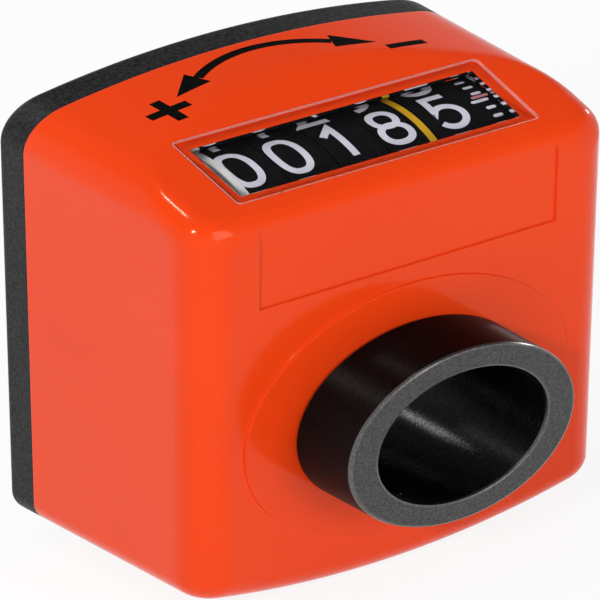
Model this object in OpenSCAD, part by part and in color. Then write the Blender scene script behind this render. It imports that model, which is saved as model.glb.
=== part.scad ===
// Mechanical position indicator: a hollow-shaft counter with a sloping window.
// X runs across the housing, Y along the shaft towards the machine, Z up.
// The origin is on the shaft axis, in the rear mounting face.
// Depths along the shaft are measured from the front face towards the rear.

/* [Housing] */
// Width of the housing
body_width = 48; // [46:0.5:56]
// Height of the crown above the shaft axis
top_rise = 41.2; // [40.5:0.1:44]
// Radius of the arched top
top_radius = 82; // [60:1:120]
// Depth of the lowest point below the shaft axis
bottom_drop = 25.7; // [23:0.1:32]
// Radius of the curved bottom
bottom_radius = 74; // [50:1:120]
// Corner radius between the top and the sides
top_corner = 5.6; // [4:0.1:8]
// Corner radius between the bottom and the sides
bottom_corner = 4.2; // [3:0.1:8]
// Depth from the front face to the rear mounting face
body_depth = 29.3; // [29:0.1:34]
// Rounding of the front edges
front_round = 3.8; // [2.5:0.1:5]
// Wall thickness of the housing
wall = 1.7; // [1.4:0.1:2]
// Height at which the sloping face would meet the front face
slope_height = 34.6; // [34:0.1:37]
// Angle of the sloping face
slope_angle = 19.6; // [16:0.1:22]
// Rounding between the sloping face and the sides
slope_round = 3; // [2:0.1:4]
// Diameter of the flat boss around the collar
boss_d = 38; // [32:0.5:40]
// Height of the flat boss
boss_height = 0.3; // [0.2:0.1:0.8]
// Half width of the shallow panel on the front face
panel_half_width = 17.1; // [12:0.1:18.5]
// Height of the lower edge of the panel above the shaft axis
panel_low = 21.7; // [20:0.1:28]
// Depth of the panel
panel_depth = 0.25; // [0.15:0.05:0.5]

/* [Rear cover] */
// Depth of the rear cover with its pad
cover_depth = 4.2; // [3.4:0.1:5]
// Diameter of the raised pad that rests on the machine
pad_d = 40; // [36:0.5:44]
// Height of the raised pad
pad_height = 0.3; // [0.2:0.1:0.6]
// Thickness of the rear wall
cover_wall = 1.4; // [1.2:0.1:2]
// Rounding of the rear edge
cover_round = 0.9; // [0.4:0.1:1.5]
// Length of the lip that plugs into the housing
lip_length = 2.2; // [1.5:0.1:3]
// Thickness of the lip
lip_wall = 1.2; // [0.8:0.1:1.6]
// Diameter of the torque pin
torque_pin_d = 6; // [4:0.5:7]
// Height of the torque pin above the shaft axis
torque_pin_height = 30; // [28:0.5:32]
// Length of the torque pin behind the mounting face
torque_pin_reach = 8; // [5:0.5:12]

/* [Window] */
// Width of the window flange
window_width = 34.4; // [32:0.1:36]
// Length of the window flange up the slope
window_length = 10.6; // [9:0.1:11.5]
// Distance up the slope from the front face to the window
window_start = 3.2; // [3:0.1:4]
// Width of the flange around the lens
window_rim = 1.3; // [0.8:0.1:2]
// Thickness of the flange
window_flange = 0.8; // [0.6:0.1:1]
// Height of the flange above the sloping face
window_proud = 0.15; // [0.05:0.05:0.4]
// Corner radius of the window
window_corner = 0.5; // [0.3:0.1:1.5]

/* [Hollow shaft] */
// Bore of the hollow shaft
bore_d = 20; // [18:0.5:20.5]
// Wall of the shaft inside the housing
shaft_wall = 2; // [1.6:0.1:2.4]
// Step from the shaft up to the clamping collar
collar_step = 1.4; // [1:0.1:3]
// Length of the collar in front of the boss
collar_length = 8.2; // [6:0.1:14]
// Chamfer on the edges of the shaft
shaft_chamfer = 0.35; // [0.2:0.05:0.6]
// Nominal size of the grub screw
grub_d = 4; // [3:0.5:5]
// Direction of the grub screw around the shaft
grub_angle = -130; // [-180:5:180]

/* [Counter] */
// Least gap between the shaft and the number wheels
wheel_gap = 4; // [3.6:0.1:5]
// Spacing of the number wheels
wheel_pitch = 5.6; // [5.2:0.1:5.8]
// Distance of the units wheel from the middle of the housing
units_left = 7; // [6.5:0.1:7.5]
// Distance of the units wheel's rim from the side of the housing
side_room = 7.4; // [7:0.1:9]
// Thickness of the number rims
rim_wall = 1.1; // [0.8:0.1:1.4]
// Thickness of the carry rings between the wheels
carry_width = 0.65; // [0.5:0.05:0.7]
// Diameter of the axle that carries the wheels
axle_d = 3; // [2.5:0.1:4]
// Diameter of the axle that carries the pinions
pinion_axle_d = 1.5; // [1.2:0.1:2]
// Diameter of the cross shaft
cross_shaft_d = 2.4; // [2:0.1:2.6]
// Thickness of the frame cheeks
cheek_wall = 1.3; // [1:0.1:1.6]
// Number that the counter shows
reading = 185; // [0:1:99999]

/* [Gears] */
// Teeth of the helical gear on the hollow shaft
drive_teeth = 36; // [36:1:36]
// Teeth of the helical pinion on the cross shaft
helical_teeth = 8; // [8:1:8]
// Wall of the helical gear on the hollow shaft, under its teeth
gear_wall = 0.9; // [0.7:0.05:1.5]
// Width of the helical gear on the hollow shaft
drive_width = 5; // [4:0.1:5.5]
// Length of the helical pinion
helical_length = 6; // [5:0.1:8]
// Teeth of the spur gear on the cross shaft
transfer_teeth = 16; // [16:1:16]
// Teeth of the spur gear on the units wheel
units_teeth = 36; // [36:1:36]
// Width of the spur gears
spur_width = 1.8; // [1.4:0.1:2]
// Play between the teeth, along the pitch circle
backlash = 0.16; // [0.12:0.01:0.24]

/* [Fits] */
// Radial clearance of parts that turn
running_gap = 0.04; // [0.02:0.01:0.08]
// Gap between fixed parts
fit_gap = 0.03; // [0.02:0.01:0.1]
// End play beside turning parts
end_play = 0.2; // [0.15:0.05:0.3]
// Room between the counter and the walls around it
room = 0.4; // [0.35:0.05:0.6]

/* [Hidden] */
$fn = 64;
// Overlap that makes a cut go clean through a face
over = 0.5;
loft_fn = 32;
arc_steps = 9;
corner_steps = 6;
slope_steps = 6;
round_steps = 6;

// Housing
split_depth = body_depth - cover_depth;
cover_back = body_depth - pad_height;
cover_inside = cover_back - cover_wall;
crest_depth = (top_rise - slope_height) / tan(slope_angle);
hub_length = 1.5;
hub_depth = wall + hub_length;
hub_wall = 1.6;
rib_wall = 1.2;
rib_bite = 0.3;
pin_shoulder = 0.5;
pin_shank_r = torque_pin_d / 2 - pin_shoulder;
pin_chamfer = 0.5;

// Hollow shaft and its helical gear
shaft_d = bore_d + 2 * shaft_wall;
shaft_r = shaft_d / 2;
collar_d = shaft_d + 2 * collar_step;
collar_back = -boss_height - end_play;
shaft_end = body_depth - end_play / 2;
hub_r = shaft_r + hub_wall;
ring_wall = 0.9;
ring_depth = hub_depth + end_play;
ring_groove = 0.5;
ring_rise = 1.2;
ring_opening = 40;
grub_length = (collar_d - bore_d) / 2 - 0.5;

// The helical pair crosses at a right angle, with 45 degrees of helix on each
helix = 45;
tip_share = 0.9;
root_share = 1.15;
helical_module = (shaft_r + fit_gap + gear_wall) / (drive_teeth / 2 - root_share * cos(helix));
drive_r = drive_teeth * helical_module / 2;
helical_r = helical_teeth * helical_module / 2;
flat_pressure = 20;
helical_pressure = atan(tan(flat_pressure) / cos(helix));
helical_addendum = tip_share * helical_module * cos(helix);
helical_dedendum = root_share * helical_module * cos(helix);
drive_hub = 0.9;
helical_tip = helical_r + helical_addendum;
cross_height = drive_r + helical_r;
transfer_share = (transfer_teeth + 2 * tip_share) / (transfer_teeth + units_teeth);
units_share = (units_teeth + 2 * tip_share) / (transfer_teeth + units_teeth);

// Row of number wheels: the rims run just inside the window, and are as large
// as the front wall, the shaft below and the helical pinion behind let them be
window_mid = window_start + window_length / 2;
rim_drop = wall + room;
front_fit = (window_mid * cos(slope_angle) + rim_drop * sin(slope_angle) - wall - room)
            / (1 - sin(slope_angle));
shaft_fit = (slope_height + window_mid * sin(slope_angle) - rim_drop * cos(slope_angle) - shaft_r - wheel_gap)
            / (1 + cos(slope_angle));
pinion_clear = helical_tip + room;
rear_x = cover_inside - room - window_mid * cos(slope_angle) - (rim_drop - pinion_clear) * sin(slope_angle);
rear_z = slope_height + window_mid * sin(slope_angle) - (rim_drop - pinion_clear) * cos(slope_angle)
         - cross_height;
rear_lead = transfer_share * (transfer_share + 2 * sin(slope_angle));
rear_half = (transfer_share + sin(slope_angle)) * rear_x + cos(slope_angle) * rear_z;
pinion_fit = (rear_half - sqrt(pow(rear_half, 2) - rear_lead * (pow(rear_x, 2) + pow(rear_z, 2)))) / rear_lead
             - pinion_clear;
wheel_r = min(front_fit, shaft_fit, pinion_fit);
wheel_sink = rim_drop + wheel_r;
wheel_depth = window_mid * cos(slope_angle) + wheel_sink * sin(slope_angle);
wheel_height = slope_height + window_mid * sin(slope_angle) - wheel_sink * cos(slope_angle);
places = 5;
row_left = units_left - (places - 1) * wheel_pitch;
units_width = body_width / 2 - side_room - units_left;
units_right = units_left + units_width + end_play + spur_width;
cheek_left = row_left - end_play;
cheek_right = units_right + end_play;
hub_wheel_r = axle_d / 2 + 1.2;
digits = [for (i = [0 : places - 1]) floor(reading / pow(10, i)) % 10];

// Carry pinions in front of the wheels
ring_teeth = 20;
pinion_teeth = 8;
pinion_gap = wheel_r + pinion_axle_d / 2 + room;
carry_module = 2 * pinion_gap / (ring_teeth + pinion_teeth);
ring_addendum = 0.7 * carry_module;
pinion_addendum = 0.7 * carry_module;
pinion_tip = pinion_teeth * carry_module / 2 + pinion_addendum;
pinion_depth = wall + pinion_tip + room;
pinion_height = wheel_height - sqrt(pow(pinion_gap, 2) - pow(wheel_depth - pinion_depth, 2));
pinion_line = atan2(pinion_depth - wheel_depth, wheel_height - pinion_height);
carry_disc_r = pinion_gap - pinion_tip - room;
carry_tooth_tip = carry_disc_r + 1.1;
carry_tooth_width = 1;

// Cross shaft behind the wheels, above the drive gear
// Its spur gear stays clear of the rear wall, and the one on the units wheel of the sloping face
cross_drop = wheel_height - cross_height;
rear_space = cover_inside - room - wheel_depth;
rear_square = 1 - pow(transfer_share, 2);
rear_reach = transfer_share * rear_space;
rear_fit = (sqrt(pow(rear_reach, 2) + rear_square * (pow(rear_space, 2) + pow(cross_drop, 2))) - rear_reach)
           / rear_square;
units_fit = (wheel_r + room / 2) / units_share;
cross_gap = min(rear_fit, units_fit);
cross_depth = wheel_depth + sqrt(pow(cross_gap, 2) - pow(cross_drop, 2));
cross_line = atan2(cross_depth - wheel_depth, cross_drop);
transfer_module = 2 * cross_gap / (transfer_teeth + units_teeth);

// Frame: two cheeks and two tie bars
bar_top_r = 1.3;
bar_top_gap = wheel_r + bar_top_r + 2 * room;
bar_top_turn = 40;
bar_top_depth = wheel_depth + bar_top_gap * cos(bar_top_turn);
bar_top_height = wheel_height + bar_top_gap * sin(bar_top_turn);
bar_low_shift = 2;
bar_low_depth = wheel_depth + bar_low_shift;
bar_low_r = 0.9;
bar_low_height = wheel_height - wheel_r - room - bar_low_r;
cheek_margin = 1.5;

// Places
// Local +Z runs towards the rear, starting at a depth behind the front face
module along_y(depth = 0) {
    translate([0, depth - body_depth, 0]) rotate([-90, 0, 0]) children();
}

// Local +Z runs towards +X, on a line at a depth and a height
module along_x(x, depth, height) {
    translate([x, depth - body_depth, height]) rotate([0, 90, 0]) children();
}

// Local +Y runs up the slope and local +Z points out of it
module on_slope(distance) {
    translate([0, distance * cos(slope_angle) - body_depth, slope_height + distance * sin(slope_angle)])
        rotate([slope_angle, 0, 0]) children();
}

// Outline of the housing
// Right half of an arched edge: the wide arc from the middle, then the corner
function arched(half, rise, radius, corner) =
    let (centre = rise - radius,
         x = half - corner,
         z = centre + sqrt(pow(radius - corner, 2) - x * x),
         turn = atan2(z - centre, x))
    concat(
        [for (i = [0 : arc_steps])
            let (a = 90 - (90 - turn) * i / arc_steps) [radius * cos(a), centre + radius * sin(a)]],
        [for (i = [1 : corner_steps])
            let (a = turn * (1 - i / corner_steps)) [x + corner * cos(a), z + corner * sin(a)]]);

function upside_down(points) = [for (i = [len(points) - 1 : -1 : 0]) [points[i][0], -points[i][1]]];

function outline(inset) =
    let (half = body_width / 2 - inset,
         high = arched(half, top_rise - inset, top_radius - inset, max(top_corner - inset, 0.4)),
         low = arched(half, bottom_drop - inset, bottom_radius - inset, max(bottom_corner - inset, 0.4)),
         right = concat(high, upside_down(low)))
    concat(right, [for (i = [len(right) - 2 : -1 : 1]) [-right[i][0], right[i][1]]]);

// Height of the sloping face at a depth, for a skin that lies inset below the outside
function slope_z(depth, inset) = slope_height + depth * tan(slope_angle) - inset / cos(slope_angle);

// Height at which a level cut with rounded corners limits the outline at x
function level_z(x, half, height, corner) =
    let (past = max(abs(x) - (half - corner), 0))
    height - corner + sqrt(max(corner * corner - past * past, 0));

// One ring of points round the housing: the outline at a depth, cut off level at a height
function ring_at(depth, inset, height) =
    [for (p = outline(inset))
        [p[0], depth - body_depth, min(p[1], level_z(p[0], body_width / 2 - inset, height, slope_round))]];

// Rings over the rounded front edge, then up the slope, then straight to the end depth
function body_rings(end) =
    let (centre_z = slope_z(front_round, 0) - front_round / cos(slope_angle),
         crest = min(crest_depth, end))
    concat(
        [for (i = [0 : round_steps])
            let (turn = 90 - 90 * i / round_steps,
                 depth = front_round * (1 - sin(turn)),
                 height = turn > slope_angle ? centre_z + front_round * cos(turn) : slope_z(depth, 0))
            ring_at(depth, front_round * (1 - cos(turn)), height)],
        [for (i = [1 : slope_steps])
            let (depth = front_round + (crest - front_round) * i / slope_steps)
            ring_at(depth, 0, slope_z(depth, 0))],
        [ring_at(end, 0, slope_z(end, 0))]);

// Closed skin over rings that all have the same number of points, with fans about the axis at both ends
module loft(rings) {
    count = len(rings[0]);
    last = len(rings) - 1;
    front = (last + 1) * count;
    points = concat([for (ring = rings, p = ring) p], [for (i = [0, last]) [0, rings[i][0][1], 0]]);
    sides = [for (i = [0 : last - 1], j = [0 : count - 1], first = [true, false])
        let (a = i * count + j,
             b = i * count + (j + 1) % count)
        first ? [a, a + count, b + count] : [a, b + count, b]];
    ends = [for (j = [0 : count - 1], first = [true, false])
        let (k = (j + 1) % count)
        first ? [front, j, k] : [front + 1, last * count + k, last * count + j]];
    polyhedron(points, concat(sides, ends), convexity = 4);
}

// Hollow of the housing: a wall thick all round, with a step inside the rounded front edge
module hollow() {
    step = front_round / 3;
    intersection() {
        union() {
            prism(wall + step, wall, split_depth);
            prism(wall, wall + step, split_depth + over);
        }
        on_slope(0) translate([-body_width, -body_width, -4 * body_width - wall])
            cube([2 * body_width, 4 * body_width, 4 * body_width]);
    }
}

// Straight prism with the outline of the housing, between two depths
module prism(inset, start, end) {
    translate([0, end - body_depth, 0]) rotate([90, 0, 0])
        linear_extrude(end - start) polygon(outline(inset));
}

// Gears
function involute(angle) = tan(angle) * 180 / PI - angle;

// Half the angle that a tooth takes up at a radius
function tooth_half(radius, teeth, module_size, pressure) =
    let (pitch_r = teeth * module_size / 2,
         base_r = pitch_r * cos(pressure),
         play = backlash / 4 / pitch_r * 180 / PI)
    90 / teeth - play + involute(pressure) - involute(acos(min(1, base_r / radius)));

// Outline of a gear with a tooth centred on the X axis
// A step of 2 leaves out every other tooth, and slim takes a little off each flank and tip
module gear_shape(teeth, module_size, addendum, dedendum, pressure = flat_pressure, step = 1, slim = 0) {
    pitch_r = teeth * module_size / 2;
    radii = [pitch_r - dedendum, pitch_r - dedendum / 3, pitch_r + addendum / 3, pitch_r + addendum - slim];
    polygon([for (i = [0 : step : teeth - 1], side = [-1, 1], j = [0 : 3])
        let (r = radii[side < 0 ? j : 3 - j],
             half = tooth_half(r, teeth, module_size, pressure) - slim / r * 180 / PI,
             a = i * 360 / teeth + side * half)
        [r * cos(a), r * sin(a)]]);
}

// Helical gear, centred on its own middle, with a tooth or a gap on the X axis there
module helical_gear(teeth, width, slices) {
    radius = teeth * helical_module / 2;
    twist = width / radius * 180 / PI * tan(helix);
    translate([0, 0, -width / 2]) rotate(twist / 2)
        linear_extrude(width, twist = twist, slices = slices)
            gear_shape(teeth, helical_module, helical_addendum, helical_dedendum, helical_pressure);
}

// Housing, rear cover and window
module housing() {
    color("orangered") difference() {
        union() {
            difference() {
                loft(body_rings(split_depth));
                hollow();
            }
            along_y(-boss_height) cylinder(r = boss_d / 2, h = boss_height + wall / 2);
            along_y(wall / 2) cylinder(r = hub_r, h = hub_depth - wall / 2);
            frame_ribs();
        }
        along_y(-boss_height - over)
            cylinder(r = shaft_r + running_gap, h = hub_depth + boss_height + 2 * over);
        panel_cut();
        on_slope(window_mid) window_block(fit_gap, over);
    }
}

// Ribs on the side walls that hold the cheeks of the counter frame
module frame_ribs() {
    inner = body_width / 2 - wall;
    left = cheek_left - cheek_wall;
    right = cheek_right + cheek_wall;
    for (height = [wheel_height, cross_height + cheek_margin])
        for (span = [[-inner - rib_bite, left], [right, inner + rib_bite]])
            translate([span[0], wall / 2 - body_depth, height - rib_wall / 2])
                cube([span[1] - span[0], split_depth - lip_length - room - wall / 2, rib_wall]);
}

// Shallow panel on the front face, open at its upper end
module panel_cut() {
    translate([-panel_half_width, -body_depth - over, panel_low])
        cube([2 * panel_half_width, over + panel_depth, top_rise]);
}

module rear_cover() {
    middle = cover_back - cover_wall / 2;
    color("dimgray") difference() {
        union() {
            difference() {
                loft(cover_rings());
                prism(wall, split_depth - over, cover_inside);
            }
            difference() {
                prism(wall + fit_gap, split_depth - lip_length, middle);
                prism(wall + fit_gap + lip_wall, split_depth - lip_length - over, cover_inside);
            }
            along_y(hub_start()) cylinder(r = hub_r, h = middle - hub_start());
            along_y(middle) cylinder(r = pad_d / 2, h = body_depth - middle);
            pin_line(pin_start() - hub_wall / 2)
                cylinder(r = pin_shank_r + hub_wall, h = middle - pin_start() + hub_wall / 2);
        }
        along_y(hub_start() - over)
            cylinder(r = shaft_r + running_gap, h = body_depth - hub_start() + 2 * over);
        pin_line(pin_start()) cylinder(r = pin_shank_r + fit_gap, h = body_depth - pin_start());
    }
}

// Local +Z runs along the torque pin towards the rear
module pin_line(depth) {
    translate([0, 0, torque_pin_height]) along_y(depth) children();
}

// The cover's bearing starts behind the hub of the helical gear
function hub_start() = cross_depth + drive_width / 2 + drive_hub + end_play;
function pin_start() = max(split_depth, wheel_depth + wheel_r + room + hub_wall) - hub_wall / 2;

// Rings of the rear cover: straight from the housing, then over its rounded rear edge
function cover_rings() =
    concat(
        [ring_at(split_depth, 0, 2 * top_rise)],
        [for (i = [0 : round_steps])
            let (turn = 90 * i / round_steps)
            ring_at(cover_back - cover_round * (1 - sin(turn)), cover_round * (1 - cos(turn)), 2 * top_rise)]);

// The window's flange and lens as one block, grown sideways by a gap and upwards by a lift
module window_block(gap, lift) {
    translate([0, 0, window_proud - window_flange])
        rounded_block(window_width + 2 * gap, window_length + 2 * gap, window_flange + lift);
    translate([0, 0, -wall - lift])
        rounded_block(window_width - 2 * window_rim + 2 * gap, window_length - 2 * window_rim + 2 * gap,
                      wall + 2 * lift);
}

module rounded_block(width, length, height) {
    linear_extrude(height) offset(r = window_corner, $fn = loft_fn) offset(delta = -window_corner)
        square([width, length], center = true);
}

module window() {
    color("lightcyan", 0.5) on_slope(window_mid) intersection() {
        window_block(0, 0);
        translate([0, 0, window_proud - body_depth / 2])
            cube([body_width, body_width, body_depth], center = true);
    }
}

// Hollow shaft and what turns with it
module hollow_shaft() {
    bore = bore_d / 2;
    collar = collar_d / 2;
    front = collar_back - collar_length;
    edge = shaft_chamfer;
    ring_back = ring_depth + ring_wall + fit_gap;
    color("dimgray") difference() {
        along_y() rotate_extrude() polygon([
            [bore + edge, front], [collar - edge, front], [collar, front + edge],
            [collar, collar_back], [shaft_r, collar_back],
            [shaft_r, ring_depth], [shaft_r - ring_groove, ring_depth],
            [shaft_r - ring_groove, ring_back], [shaft_r, ring_back],
            [shaft_r, shaft_end - edge], [shaft_r - edge, shaft_end],
            [bore + edge, shaft_end], [bore, shaft_end - edge], [bore, front + edge]]);
        grub_line(bore_d / 4) cylinder(r = grub_d / 2, h = collar_d);
    }
}

// Local +Z runs outwards from a radius, along the grub screw
module grub_line(radius) {
    rotate([0, 90 - grub_angle, 0])
        translate([0, collar_back - collar_length / 2 - body_depth, radius]) children();
}

module grub_screw() {
    socket = grub_d / 2;
    color("gray") grub_line(bore_d / 2 + fit_gap) difference() {
        cylinder(r = grub_d / 2 - fit_gap, h = grub_length);
        translate([0, 0, grub_length / 2]) cylinder(d = socket / cos(30), h = grub_length, $fn = 6);
    }
}

// Open snap ring behind the front bearing
module retaining_ring() {
    inner = shaft_r - ring_groove + fit_gap;
    color("silver") along_y(ring_depth) difference() {
        cylinder(r = shaft_r + ring_rise, h = ring_wall);
        translate([0, 0, -over]) cylinder(r = inner, h = ring_wall + 2 * over);
        translate([0, 0, -over]) linear_extrude(ring_wall + 2 * over) polygon([[0, 0],
            for (side = [-1, 1]) shaft_d * [side * sin(ring_opening / 2), cos(ring_opening / 2)]]);
    }
}

module drive_gear() {
    hub = drive_r - helical_dedendum - fit_gap;
    color("ivory") along_y(cross_depth) difference() {
        union() {
            rotate(-90 + 180 / drive_teeth) helical_gear(drive_teeth, drive_width, 3);
            translate([0, 0, -drive_width / 2 - drive_hub])
                cylinder(r = hub, h = drive_width + 2 * drive_hub);
        }
        translate([0, 0, -body_depth / 2]) cylinder(r = shaft_r + fit_gap, h = body_depth);
    }
}

// The pin's thinner shank sits in the cover and its shoulder on the rear wall
module torque_pin() {
    start = pin_start();
    reach = body_depth + torque_pin_reach;
    radius = torque_pin_d / 2;
    color("silver") pin_line(0) rotate_extrude() polygon([
        [0, start], [pin_shank_r, start], [pin_shank_r, cover_back], [radius, cover_back],
        [radius, reach - pin_chamfer], [radius - pin_chamfer, reach], [0, reach]]);
}

// Counter frame and its axles
module cheek_shape() {
    hull() {
        for (spot = [[wheel_depth, wheel_height, hub_wheel_r + cheek_margin],
                     [pinion_depth, pinion_height, pinion_axle_d / 2 + cheek_margin],
                     [cross_depth, cross_height, cross_shaft_d / 2 + cheek_margin],
                     [bar_top_depth, bar_top_height, bar_top_r + cheek_margin / 2]])
            translate([-spot[1], spot[0]]) circle(spot[2], $fn = loft_fn);
    }
}

module counter_frame() {
    span = cheek_right - cheek_left + cheek_wall;
    start = cheek_left - cheek_wall;
    color("whitesmoke") difference() {
        union() {
            for (x = [start, cheek_right])
                along_x(x, 0, 0) linear_extrude(cheek_wall) cheek_shape();
            along_x(cheek_left - cheek_wall / 2, wheel_depth, wheel_height) difference() {
                cylinder(r = wheel_r - room / 2, h = carry_width + cheek_wall / 2);
                translate([0, 0, cheek_wall / 2]) cylinder(r = hub_wheel_r + room, h = cheek_wall);
            }
            along_x(start + cheek_wall / 2, bar_top_depth, bar_top_height) cylinder(r = bar_top_r, h = span);
            along_x(start + cheek_wall / 2, bar_low_depth, bar_low_height) cylinder(r = bar_low_r, h = span);
        }
        frame_bore(wheel_depth, wheel_height, axle_d / 2 + fit_gap);
        frame_bore(pinion_depth, pinion_height, pinion_axle_d / 2 + fit_gap);
        frame_bore(cross_depth, cross_height, cross_shaft_d / 2 + running_gap);
    }
}

// One hole through both cheeks
module frame_bore(depth, height, radius) {
    along_x(-body_width / 2, depth, height) cylinder(r = radius, h = body_width);
}

// A round bar that ends inside the outer faces of the cheeks
module cheek_bar(depth, height, diameter) {
    start = cheek_left - cheek_wall + end_play / 2;
    along_x(start, depth, height) cylinder(d = diameter, h = cheek_right + cheek_wall - end_play / 2 - start);
}

module number_axle() {
    color("silver") cheek_bar(wheel_depth, wheel_height, axle_d);
}

module pinion_axle() {
    color("silver") cheek_bar(pinion_depth, pinion_height, pinion_axle_d);
}

module cross_shaft() {
    color("silver") cheek_bar(cross_depth, cross_height, cross_shaft_d);
}

// Number wheels, counted from the units
function wheel_x(place) = units_left - place * wheel_pitch;

// How far a wheel has to turn, in degrees, before it carries from nine to zero
function to_carry(place) = (9.5 - digits[place]) * 36;
function pinion_phase(place) = to_carry(place) / 4;

// Rim, web and hub of a wheel, turned about its axis
module wheel_body(start, width, left) {
    difference() {
        union() {
            translate([0, 0, start]) cylinder(r = wheel_r, h = width);
            translate([0, 0, left]) cylinder(r = hub_wheel_r, h = start + width - left);
        }
        translate([0, 0, start - over]) difference() {
            cylinder(r = wheel_r - rim_wall, h = width - rim_wall + over);
            cylinder(r = hub_wheel_r, h = width + over);
        }
    }
}

// Disc with the single tooth that moves the next wheel on
module carry_disc(place) {
    linear_extrude(carry_width) {
        circle(carry_disc_r);
        rotate(pinion_line - to_carry(place))
            translate([0, -carry_tooth_width / 2]) square([carry_tooth_tip, carry_tooth_width]);
    }
}

// Ring of teeth through which the lower wheel moves this one
module carry_ring(place) {
    rotate(pinion_line + 180 / ring_teeth - pinion_phase(place - 1) * pinion_teeth / ring_teeth)
        linear_extrude(carry_width)
            gear_shape(ring_teeth, carry_module, ring_addendum, carry_module);
}

module number_wheel(place) {
    rim_width = wheel_pitch - 2 * carry_width - end_play;
    color("black") along_x(wheel_x(place), wheel_depth, wheel_height) difference() {
        union() {
            wheel_body(carry_width, rim_width, 0);
            if (place < places - 1) carry_disc(place);
            translate([0, 0, carry_width + rim_width]) carry_ring(place);
        }
        axle_bore();
    }
}

module axle_bore() {
    translate([0, 0, -body_width]) cylinder(r = axle_d / 2 + running_gap, h = 2 * body_width);
}

module units_wheel() {
    rim_width = units_width - carry_width;
    color("black") along_x(units_left, wheel_depth, wheel_height) difference() {
        union() {
            wheel_body(carry_width, rim_width, 0);
            carry_disc(0);
            translate([0, 0, units_width - over])
                cylinder(r = hub_wheel_r, h = end_play + over + spur_width);
            translate([0, 0, units_width + end_play]) rotate(cross_line + 180 / units_teeth)
                linear_extrude(spur_width) transfer_shape(units_teeth);
        }
        axle_bore();
    }
}

module tens_wheel() { number_wheel(1); }
module hundreds_wheel() { number_wheel(2); }
module thousands_wheel() { number_wheel(3); }
module ten_thousands_wheel() { number_wheel(4); }

// Pinion between a wheel and the next higher one: full teeth on its left, every other tooth on its right
module carry_pinion(place) {
    left = wheel_x(place) - end_play / 2 - carry_width;
    color("ivory") along_x(left, pinion_depth, pinion_height) difference() {
        rotate(pinion_line + 180 + pinion_phase(place)) {
            linear_extrude(carry_width) pinion_shape(1, 0);
            translate([0, 0, carry_width / 2]) linear_extrude(1.5 * carry_width)
                rotate(360 / pinion_teeth) pinion_shape(2, fit_gap);
        }
        translate([0, 0, -over]) cylinder(r = pinion_axle_d / 2 + running_gap, h = body_depth);
    }
}

module pinion_shape(step, slim) {
    gear_shape(pinion_teeth, carry_module, pinion_addendum, carry_module, step = step, slim = slim);
    circle(pinion_teeth * carry_module / 2 - carry_module - 2 * fit_gap);
}

module carry_pinion_1() { carry_pinion(0); }
module carry_pinion_2() { carry_pinion(1); }
module carry_pinion_3() { carry_pinion(2); }
module carry_pinion_4() { carry_pinion(3); }

// Gears on the cross shaft
module transfer_shape(teeth) {
    gear_shape(teeth, transfer_module, tip_share * transfer_module, root_share * transfer_module);
}

module helical_pinion() {
    color("ivory") along_x(0, cross_depth, cross_height) difference() {
        helical_gear(helical_teeth, helical_length, 12);
        cross_bore();
    }
}

module transfer_gear() {
    color("ivory") along_x(units_right - spur_width, cross_depth, cross_height) difference() {
        rotate(cross_line + 180) linear_extrude(spur_width) transfer_shape(transfer_teeth);
        cross_bore();
    }
}

module cross_bore() {
    translate([0, 0, -body_width]) cylinder(r = cross_shaft_d / 2 + fit_gap, h = 2 * body_width);
}

housing();
rear_cover();
window();
hollow_shaft();
grub_screw();
retaining_ring();
drive_gear();
torque_pin();
counter_frame();
number_axle();
units_wheel();
tens_wheel();
hundreds_wheel();
thousands_wheel();
ten_thousands_wheel();
pinion_axle();
carry_pinion_1();
carry_pinion_2();
carry_pinion_3();
carry_pinion_4();
cross_shaft();
helical_pinion();
transfer_gear();
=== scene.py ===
import math

import bmesh
import bpy
from mathutils import Matrix, Vector


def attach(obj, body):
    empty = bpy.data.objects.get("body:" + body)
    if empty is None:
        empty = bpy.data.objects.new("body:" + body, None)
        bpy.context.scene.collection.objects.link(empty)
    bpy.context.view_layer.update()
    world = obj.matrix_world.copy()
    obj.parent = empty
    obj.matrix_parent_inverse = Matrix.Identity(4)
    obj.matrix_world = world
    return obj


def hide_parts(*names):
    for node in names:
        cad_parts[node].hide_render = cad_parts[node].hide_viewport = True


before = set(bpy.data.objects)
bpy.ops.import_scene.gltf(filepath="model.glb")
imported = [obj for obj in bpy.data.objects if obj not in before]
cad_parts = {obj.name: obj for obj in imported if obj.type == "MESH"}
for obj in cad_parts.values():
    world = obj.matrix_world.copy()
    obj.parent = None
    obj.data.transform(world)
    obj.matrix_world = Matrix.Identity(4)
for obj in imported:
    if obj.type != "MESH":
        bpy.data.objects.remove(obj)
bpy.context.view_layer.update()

# Sizes of the part in mm, as in the part's source
MM = 0.001
WIDTH, DEPTH = 48.0, 29.3
TOP_RISE, TOP_RADIUS, TOP_CORNER = 41.2, 82.0, 5.6
LOW_DROP, LOW_RADIUS, LOW_CORNER = 25.7, 74.0, 4.2
FRONT_ROUND, WALL = 3.8, 1.7
SLOPE_HEIGHT, SLOPE_ANGLE, SLOPE_ROUND = 34.6, math.radians(19.6), 3.0
BOSS_R, BOSS_HEIGHT = 19.0, 0.3
PANEL_HALF, PANEL_LOW, PANEL_DEPTH = 17.1, 21.7, 0.25
COVER_DEPTH, COVER_WALL, COVER_ROUND = 4.2, 1.4, 0.9
PAD_R, PAD_HEIGHT = 20.0, 0.3
LIP_LENGTH, LIP_WALL = 2.2, 1.2
PIN_R, PIN_HEIGHT, PIN_REACH = 3.0, 30.0, 8.0
PIN_SHOULDER, PIN_CHAMFER = 0.5, 0.5
WINDOW_WIDTH, WINDOW_LENGTH, WINDOW_START = 34.4, 10.6, 3.2
WINDOW_RIM, WINDOW_FLANGE, WINDOW_PROUD, WINDOW_CORNER = 1.3, 0.8, 0.15, 0.5
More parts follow.
